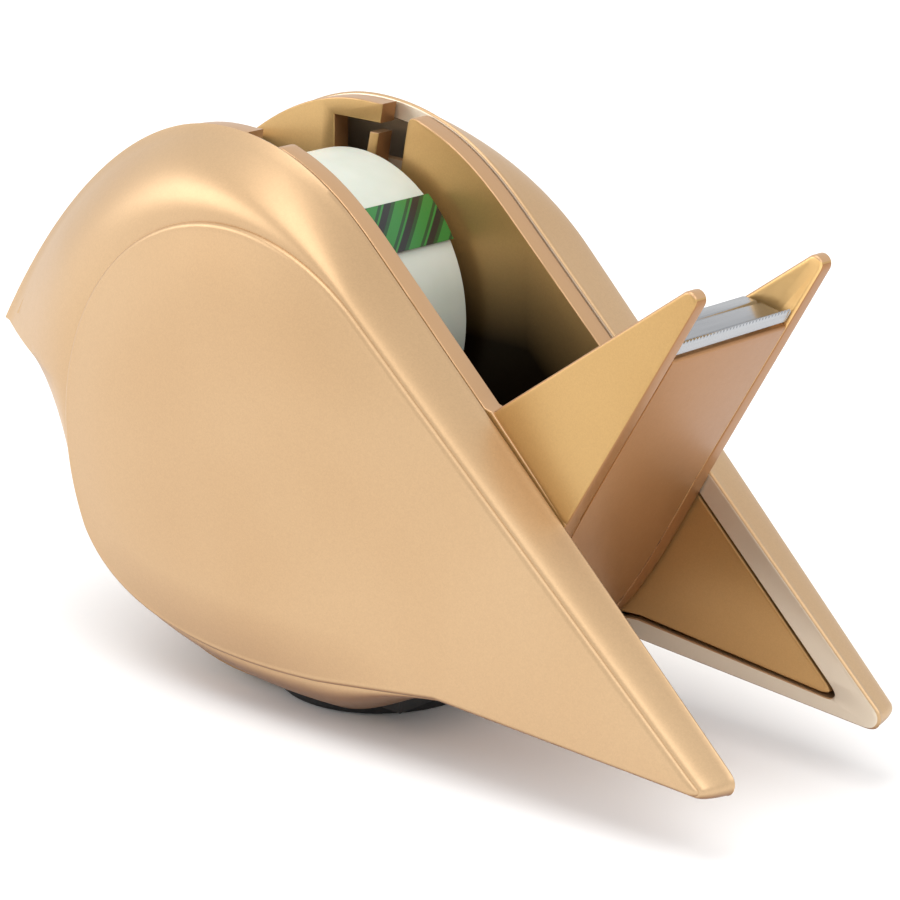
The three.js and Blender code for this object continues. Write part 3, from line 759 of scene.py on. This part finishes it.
def pocket_loop():
    """The wall inside a shell that closes the back of the slot and of the window's lower part."""
    return [(46.0, 60.0), (63.5, 60.0), (61.0, 75.8), (57.6, 77.0), (55.2, 70.5), (46.0, 70.5)]


def join_lofts(parts):
    points, faces = [], []
    for more, more_faces in parts:
        offset = len(points)
        points += more
        faces += [tuple(i + offset for i in face) for face in more_faces]
    return points, faces


def sided(rings, side):
    return [[at(u, side * y, z) for u, y, z in ring] for ring in rings]


RINGS, FLOOR_POINT, TOP_POINT = shell_points()
for side, name in ((1, "right"), (-1, "left")):
    ends = [at(p[0], side * p[1], p[2]) for p in (FLOOR_POINT, TOP_POINT)]
    pocket = sided(plate_rings(pocket_loop(), SEAM_Y + 0.02, SEAM_Y + 1.4, 0.1), side)
    parts = [loft(sided(RINGS, side), *ends), loft(pocket)]
    finish(make(f"{name}_shell_body", *join_lofts(parts)), f"{name}_shell")


# ---- Inner frames with their ears ----
def belly(inset, n):
    """The belly's rear line, from the ears' base down to the base, moved inwards by an inset."""
    top = (EAR_BASE_LOW[0] - 0.862 * inset, EAR_BASE_LOW[1] + 0.507 * inset)
    bend = (103.5 - 0.862 * inset, 20.2 + 0.507 * inset)
    sweep = (96 - 0.5 * inset, 6 + 0.86 * inset)
    base = (84.0, 4.4 + inset)
    return cubic(top, bend, sweep, base, n) + [base]


def frame_loop():
    """The frame's plate: its top edge, the axle slot, the window with its spring finger, the head,
    the breast and the belly."""
    back, crest, head, breast, bottom, rise = outline_curves(GAP)[:6]
    run = hypot(*SLOT_RUN)
    along = (SLOT_RUN[0] / run, SLOT_RUN[1] / run)
    across = (along[1], -along[0])

    def slot_edge(side, z):
        reach = (z - ROLL_Z - side * SLOT_HALF * across[1]) / along[1]
        return (ROLL_U + reach * along[0] + side * SLOT_HALF * across[0], z)

    turn = degrees(atan2(across[1], across[0]))
    right, left = slot_edge(1, 78.6), slot_edge(-1, 79.2)
    start = [p for p in back if p[0] < EAR_BASE_TOP[0]]
    before = [p for p in crest if p[0] > right[0] + 1.4]
    after = [p for p in crest if p[0] < left[0] - 0.3]
    slot_bottom = arc((ROLL_U, ROLL_Z), SLOT_HALF, turn, turn - 180, 16)
    window = [(50.9, FINGER_TOP_Z), (48.2, 63.0), (43.6, 63.0), (43.6, WINDOW_TOP_Z)]
    finger = [slot_edge(-1, FINGER_TOP_Z)] + window + [slot_edge(-1, WINDOW_TOP_Z)]
    shoulder = quadratic(before[-1], right, slot_edge(1, 76.8), 6)
    top = [EAR_BASE_TOP] + start + before[:-1] + shoulder + [slot_edge(1, 76.8)]
    opening = slot_bottom + finger + [left] + after
    return top + opening + head + breast + bottom + rise[:11] + list(reversed(belly(0.0, 48)))


def lean(u, y, z):
    t = max(0.0, (z - EAR_BASE_LOW[1]) / (EAR_TIP[1] - EAR_BASE_LOW[1]))
    depth = (FRAME_OUT - y) * (1 - (1 - EAR_TIP_T / FRAME_T) * t)
    return (u, FRAME_OUT - EAR_LEAN * t - depth, z)


EAR_SLOPE = (EAR_TIP[0] - EAR_BASE_LOW[0]) / (EAR_TIP[1] - EAR_BASE_LOW[1])


def ear_front(z, back=0.0):
    """The ears' front edge at a height, or a line behind it."""
    return (EAR_BASE_LOW[0] + (z - EAR_BASE_LOW[1]) * EAR_SLOPE - back * hypot(1.0, EAR_SLOPE), z)


def ear_loop():
    """The ear in side view: its front edge in line with the front plate, and a round tip."""
    low_turn = atan2(EAR_TIP[1] - EAR_BASE_LOW[1], EAR_TIP[0] - EAR_BASE_LOW[0])
    top_turn = atan2(EAR_TIP[1] - EAR_BASE_TOP[1], EAR_TIP[0] - EAR_BASE_TOP[0])
    half, middle = (low_turn - top_turn) / 2, (low_turn + top_turn) / 2
    reach = EAR_TIP_R / sin(half)
    centre = (EAR_TIP[0] - reach * cos(middle), EAR_TIP[1] - reach * sin(middle))
    front = toward(EAR_TIP, EAR_BASE_LOW, EAR_TIP_R / tan(half))
    rear = toward(EAR_TIP, EAR_BASE_TOP, EAR_TIP_R / tan(half))
    loop = line((104.0, 36.0), EAR_BASE_LOW, 6)
    loop += line(EAR_BASE_LOW, front, 34)
    loop += arc(centre, EAR_TIP_R, degrees(low_turn) - 90, degrees(top_turn) + 90, 14)
    loop += line(rear, EAR_BASE_TOP, 34)
    loop += line(EAR_BASE_TOP, (97.0, 44.0), 4)
    loop += line((97.0, 44.0), (104.0, 36.0), 8)
    return loop


def ear_rings():
    """Rings from the flat outer face, over a rounded edge, to the scooped inner face."""
    loop = ear_loop()
    centre = (116.5, 52.0)
    rings = []
    for angle in (0, 25, 50, 75, 90):
        a = radians(angle)
        rings.append((EAR_EDGE * (1 - sin(a)), FRAME_OUT - EAR_EDGE * (1 - cos(a))))
    rings += [(inset, FRAME_IN + FRAME_OUT - y) for inset, y in reversed(rings)]
    rings = [[lean(u, y, z) for u, z in inset_loop(loop, inset)] for inset, y in rings]
    rim = inset_loop(loop, EAR_EDGE)
    scoop = ((0.97, 0.03), (0.93, 0.1), (0.87, 0.22), (0.79, 0.38), (0.69, 0.54), (0.57, 0.68),
             (0.43, 0.8), (0.28, 0.88), (0.14, 0.92))
    for share, depth in scoop:
        ring = [mix(centre, p, share) for p in rim]
        rings.append([lean(u, FRAME_IN + depth, z) for u, z in ring])
    return rings


def inner_frame(name, side):
    plate_part = plate_rings(frame_loop(), FRAME_IN, FRAME_OUT, 0.22)
    parts = [loft(sided(rings, side)) for rings in (plate_part, ear_rings())]
    return make(name, *join_lofts(parts), sharp=30)


for side, name in ((1, "right"), (-1, "left")):
    finish(inner_frame(f"{name}_frame_plate", side), f"{name}_inner_frame")


# ---- Front plate, breast strip, tub and tail panels ----
def cover_loop():
    outer = list(reversed(belly(0.0, 48)))
    inner = belly(COVER_T, 48)
    rise = PLATE_TOP_Z - EAR_BASE_LOW[1]
    top = (outer[-1][0] + rise * EAR_SLOPE, outer[-1][1] + rise)
    inner_top = (inner[0][0] + rise * EAR_SLOPE, inner[0][1] + rise)
    lip = soften([outer[-1], top, inner_top, inner[0]], 0.5)[6:-6]
    return outer + line(outer[-1], lip[0], 24)[1:] + lip + line(lip[-1], inner[0], 24)[1:] + inner


def cover_bend(u, y, z):
    """Fits the plate between the ears, which lean in towards their tips."""
    t = max(0.0, (z - EAR_BASE_LOW[1]) / (EAR_TIP[1] - EAR_BASE_LOW[1]))
    inner = FRAME_OUT - EAR_LEAN * t - FRAME_T * (1 - (1 - EAR_TIP_T / FRAME_T) * t)
    side = 1 if y > 0 else -1
    return (u, side * min(abs(y), inner - FRAME_IN + abs(y)), z)


def breast_loop():
    head, breast = outline_curves(GAP, (40, 26, 48, 60, 4, 4, 4, 4))[2:4]
    inner_head, inner_breast = outline_curves(GAP + COVER_T, (40, 26, 48, 60, 4, 4, 4, 4))[2:4]
    outer = head[20:] + breast[:56]
    inner = inner_head[20:] + inner_breast[:56]
    return outer + list(reversed(inner))


def liner_loop():
    centre, radius, thick = (ROLL_U, ROLL_Z), 26.5, 1.4
    start, end = 168.0, 296.0
    climb = (-sin(radians(end)), cos(radians(end)))

    def ramp_end(r):
        u, z = arc(centre, r, end, end + 1, 1)[0]
        reach = (113.2 - u) / climb[0]
        return (u + reach * climb[0], z + reach * climb[1])

    inner = arc(centre, radius, start, end, 60) + [ramp_end(radius)]
    outer = [ramp_end(radius + thick)] + arc(centre, radius + thick, end, start, 60)
    return [(26.6, 69.2)] + inner + outer + [(26.6 - thick, 69.2)]


def panel_loop():
    curves = outline_curves(PANEL_INSET, (80, 4, 4, 4, 4, 4, 30, 5))
    top = curves[0]
    corner = (92.6, 11.6)
    return soften(top[:38] + [corner] + curves[6] + curves[7], 0.8)


cover_half = FRAME_IN - 0.06
finish(plate("front_plate", cover_loop(), -cover_half, cover_half, 0.1, bend=cover_bend), "front_cover")
finish(plate("breast_strip", breast_loop(), -FRAME_IN + GAP, FRAME_IN - GAP, 0.2), "breast_cover")
finish(plate("roll_tub", liner_loop(), -FRAME_IN + GAP, FRAME_IN - GAP, 0.2), "well_liner")
for side, name in ((1, "right"), (-1, "left")):
    face_y = SEAM_Y + GAP
    panel = plate(f"{name}_feather_insert", panel_loop(), face_y, face_y + PANEL_T, 0.3, side=side)
    finish(panel, f"{name}_tail_panel")


# ---- Cutter ----
def holder_loop():
    """The cutter's holder: a facet behind the teeth, a groove, and a facet down to the back."""
    behind = COVER_T + GAP
    loop = [(119.4, 62.5), (120.7, 63.2), (122.9, 62.98), (123.1, 62.6), (123.4, 62.6), (123.55, 62.85),
            ear_front(62.2, behind), ear_front(52.0, behind), (115.0, 52.3), (113.9, 55.5)]
    return soften(loop, 0.25, turn=25, steps=3)


def cutter_blade():
    """A thin strip with a row of fine ground teeth, standing in line with the front plate."""
    lo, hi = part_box("cutter_blade")
    teeth, height, tooth, thick = 34, 2.2, 0.5, 0.5
    width = (hi.y - lo.y) / MM - 0.02
    rise = Vector((EAR_SLOPE, 0, 1)).normalized()
    out = Vector((0, 1, 0)).cross(rise)
    start = (PLATE_TOP_Z - EAR_BASE_LOW[1] + 0.5) / rise.z
    origin = at(EAR_BASE_LOW[0], 0, EAR_BASE_LOW[1]) + rise * start * MM - out * 1.0 * MM
    pitch = width / teeth
    edge = [(-width / 2, 0.0), (width / 2, 0.0)]
    for k in range(teeth):
        y = width / 2 - k * pitch
        edge += [(y, height - tooth), (y - 0.42 * pitch, height - 0.05), (y - 0.58 * pitch, height - 0.05)]
    edge += [(-width / 2, height - tooth)]
    rings = []
    for depth, grind in ((0.0, 0.3), (thick, -0.1)):
        ring = []
        for y, h in edge:
            shift = depth + grind * max(0.0, h - (height - tooth)) / tooth
            ring.append(origin + (Vector((0, y, 0)) + rise * h + out * shift) * MM)
        rings.append(ring)
    return make("toothed_blade", *loft(rings), sharp=25)


finish(plate("blade_holder", holder_loop(), -11.0, 11.0, 0.15), "cutter_holder")
finish(cutter_blade(), "cutter_blade")

# ---- Axle, hubs, core, tape and tab ----
HUB = at(ROLL_U, 0, ROLL_Z)


def hub_section():
    barrel = CORE_R - CORE_T - GAP
    side = ROLL_WIDTH / 2 + GAP
    bore = AXLE_R + GAP
    flange, rim = 15.5, side + 1.3
    inner = [(bore, GAP), (bore + 1.6, GAP), (bore + 1.6, side - 1), (barrel - 1.6, side - 1)]
    outer = [(barrel - 1.6, GAP), (barrel, GAP), (barrel, side), (flange, side), (flange, rim)]
    dish = [(14.2, rim), (13.8, side + 1.0), (6.2, side + 1.0), (5.8, rim), (bore, rim)]
    corners = inner + outer + dish
    return soften(corners, 0.3, steps=3)


axle_end = FRAME_OUT - GAP
axle_section = [(0.0, -axle_end), (AXLE_R - 0.4, -axle_end), (AXLE_R, -axle_end + 0.4), (AXLE_R, -12.4),
                (AXLE_R - 0.25, -12.2), (AXLE_R - 0.25, -11.4), (AXLE_R, -11.2)]
axle_section += [(r, -y) for r, y in reversed(axle_section)]
finish(turned("axle_pin", axle_section, HUB, sides=64), "axle")
for side, name in ((1, "right"), (-1, "left")):
    section = [(r, side * y) for r, y in hub_section()]
    finish(turned(f"{name}_hub_half", section, HUB, sides=96), f"{name}_hub")
half = ROLL_WIDTH / 2
finish(turned("card_core", rounded_ring(CORE_R, CORE_R - CORE_T, -half, half, 0.25), HUB), "tape_core")
winding = rounded_ring(ROLL_R, CORE_R + GAP, -half, half, 0.3)
finish(turned("wound_tape", winding, HUB, sides=180), "tape_roll")


def tab_loop():
    centre = (ROLL_U, ROLL_Z)
    inner = ROLL_R + GAP
    outer_arc = arc(centre, inner + TAB_T, TAB_START, TAB_END, 40)
    inner_arc = arc(centre, inner, TAB_END, TAB_START, 40)
    return outer_arc + inner_arc


finish(plate("striped_tab", tab_loop(), -half, half, 0.05), "starter_tab")

# ---- Pad, base and weight ----
PAD_CENTRE = at(PAD_U, 0, -LIFT)
pad_section = [(0.0, 0.0)]
for groove in (4.0, 7.5, 11.0):
    pad_section += [(groove - 0.5, 0.0), (groove - 0.3, 0.3), (groove + 0.3, 0.3), (groove + 0.5, 0.0)]
pad_section += [(PAD_R - 0.9, 0.0), (PAD_R - 0.35, 0.12), (PAD_R - 0.08, 0.4), (PAD_R, 0.75), (PAD_R, 1.2),
                (PAD_R - 0.2, PAD_T), (0.0, PAD_T)]
finish(turned("rubber_foot", pad_section, PAD_CENTRE, axis="Z", sides=128), "base_pad")
for node, bevel in (("ballast_weight", 0.5), ("base_plate", 0.3)):
    keep(node, bevel)


# ---- Fasteners ----
def screw_section(shaft, head, head_t, length):
    """A domed head with a driver recess, and a shaft with thread-like ridges."""
    recess = [(0.0, -head_t + 0.75), (0.75, -head_t + 0.75), (0.85, -head_t), (head * 0.55, -head_t)]
    dome = [(head * 0.85, -head_t + 0.15), (head, -head_t + 0.5), (head, -0.1), (head - 0.1, 0.0)]
    points = recess + dome + [(shaft, 0.0)]
    pitch = 0.7
    y = 0.6
    while y + pitch < length - 0.8:
        points += [(shaft - 0.22, y), (shaft, y + pitch / 2)]
        y += pitch
    points += [(shaft - 0.22, y), (0.3, length - 0.1), (0.0, length)]
    return points


def cross(i, a):
    """Turns the round recess of a screw head into a cross."""
    return 1.0 + 0.5 * cos(4 * a) if i in (1, 2) else 1.0


def screw(name, node, section, axis):
    lo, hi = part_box(node)
    middle = (lo + hi) / 2
    if axis == "Z":
        origin = Vector((middle.x, middle.y, hi.z - 8.0 * MM))
        points = section
    else:
        side = 1 if middle.y > 0 else -1
        origin = Vector((middle.x, hi.y - 8.0 * MM if side > 0 else lo.y + 8.0 * MM, middle.z))
        points = [(r, side * y) for r, y in section]
    finish(turned(name, points, origin, axis=axis, sides=32, wobble=cross), node)


for k in (1, 2, 3):
    for name in ("left", "right"):
        node = f"{name}_shell_screw_{k}"
        screw(f"{name}_shell_fixing_{k}", node, screw_section(1.25, 2.4, 1.4, 8.0), "Y")
    screw(f"base_fixing_{k}", f"base_screw_{k}", screw_section(1.25, 2.4, 1.2, 8.0), "Z")
for k in (1, 2):
    keep(f"frame_bolt_{k}", 0.12)
    keep(f"frame_nut_{k}", 0.12)

# ---- Floor, light and camera ----
scene = bpy.context.scene
scene.view_settings.view_transform = "Standard"

floor_surface = Surface("floor_paper")
floor_surface.colour(floor_surface.ramp(
    floor_surface.noise(6.0, 3.0), ((0.3, linear(246, 246, 246)), (0.7, linear(250, 250, 250)))))
floor_surface.roughness(floor_surface.noise(300.0, 3.0), 0.85, 0.95)
bpy.ops.mesh.primitive_plane_add(size=8.0, location=(0, 0, -0.0002))
floor = bpy.context.object
floor.name = "floor"
floor.data.materials.append(floor_surface.material)

world = bpy.data.worlds.new("studio")
scene.world = world
world.use_nodes = True
world.node_tree.nodes["Background"].inputs["Color"].default_value = (1.0, 1.0, 1.0, 1.0)
world.node_tree.nodes["Background"].inputs["Strength"].default_value = 1.0


def softbox(name, place, target, size, power, colour=(1.0, 1.0, 1.0)):
    light = bpy.data.lights.new(name, "AREA")
    light.shape = "RECTANGLE"
    light.size, light.size_y = size
    light.energy = power
    light.color = colour
    obj = bpy.data.objects.new(name, light)
    obj.location = place
    obj.rotation_euler = (Vector(target) - Vector(place)).to_track_quat("-Z", "Y").to_euler()
    scene.collection.objects.link(obj)


softbox("key", (-0.8, -0.62, 0.42), (0, 0, 0.05), (0.6, 0.45), 3.0)
softbox("top", (-0.05, -0.25, 0.95), (0, 0, 0.04), (0.7, 0.7), 4.0)
softbox("fill", (0.7, -0.2, 0.6), (0, 0, 0.04), (0.5, 0.5), 2.0)

AZIMUTH, ELEVATION = radians(43.41), radians(17.41)
DISTANCE = 0.4758
back_vector = Vector((sin(AZIMUTH) * cos(ELEVATION), -cos(AZIMUTH) * cos(ELEVATION), sin(ELEVATION)))
aim = Vector((0.0061, 0.0, 0.0352 + LIFT * MM))
camera_data = bpy.data.cameras.new("camera")
camera_data.lens = 136.0
camera_data.sensor_width = 36.0
camera_data.clip_start = 0.01
camera = bpy.data.objects.new("camera", camera_data)
camera.location = aim + back_vector * DISTANCE
camera.rotation_euler = back_vector.to_track_quat("Z", "Y").to_euler()
scene.collection.objects.link(camera)
scene.camera = camera
